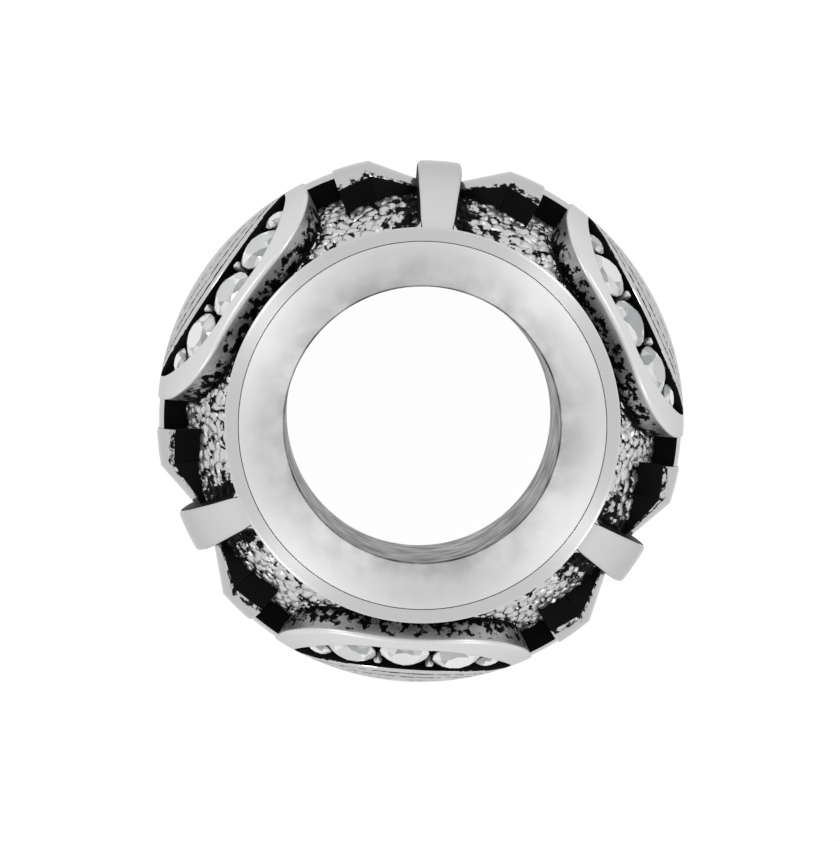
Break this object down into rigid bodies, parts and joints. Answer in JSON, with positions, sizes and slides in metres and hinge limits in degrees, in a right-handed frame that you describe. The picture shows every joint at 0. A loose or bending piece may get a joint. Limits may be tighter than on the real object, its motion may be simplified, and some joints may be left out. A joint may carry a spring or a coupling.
{
  "type": "european charm bead",
  "caption": "Barrel charm bead with a wide flared bore, raised ribs and round medallions set with clear crystals; slides on a bracelet.",
  "frame": {"origin": "middle of the bore, halfway between the end faces", "axes": "+Z along the bore, +Y through the middle of one rib"},
  "size_m": [0.0098, 0.0097, 0.006],
  "materials": {
    "cast_silver": "polished, oxidised in the recesses",
    "sleeve_silver": "polished",
    "crystal": "faceted and clear"
  },
  "bodies": {
    "root": {"cast_body": "cast_silver", "core_sleeve": "sleeve_silver", "crystal_a_bottom_left": "crystal", "crystal_a_bottom_left_tip": "crystal", "crystal_a_bottom_middle": "crystal", "crystal_a_bottom_right": "crystal", "crystal_a_bottom_right_tip": "crystal", "crystal_a_top_left": "crystal", "crystal_a_top_left_tip": "crystal", "crystal_a_top_middle": "crystal", "crystal_a_top_right": "crystal", "crystal_a_top_right_tip": "crystal", "crystal_b_bottom_left": "crystal", "crystal_b_bottom_left_tip": "crystal", "crystal_b_bottom_middle": "crystal", "crystal_b_bottom_right": "crystal", "crystal_b_bottom_right_tip": "crystal", "crystal_b_top_left": "crystal", "crystal_b_top_left_tip": "crystal", "crystal_b_top_middle": "crystal", "crystal_b_top_right": "crystal", "crystal_b_top_right_tip": "crystal", "crystal_c_bottom_left": "crystal", "crystal_c_bottom_left_tip": "crystal", "crystal_c_bottom_middle": "crystal", "crystal_c_bottom_right": "crystal", "crystal_c_bottom_right_tip": "crystal", "crystal_c_top_left": "crystal", "crystal_c_top_left_tip": "crystal", "crystal_c_top_middle": "crystal", "crystal_c_top_right": "crystal", "crystal_c_top_right_tip": "crystal"}
  },
  "joints": []
}
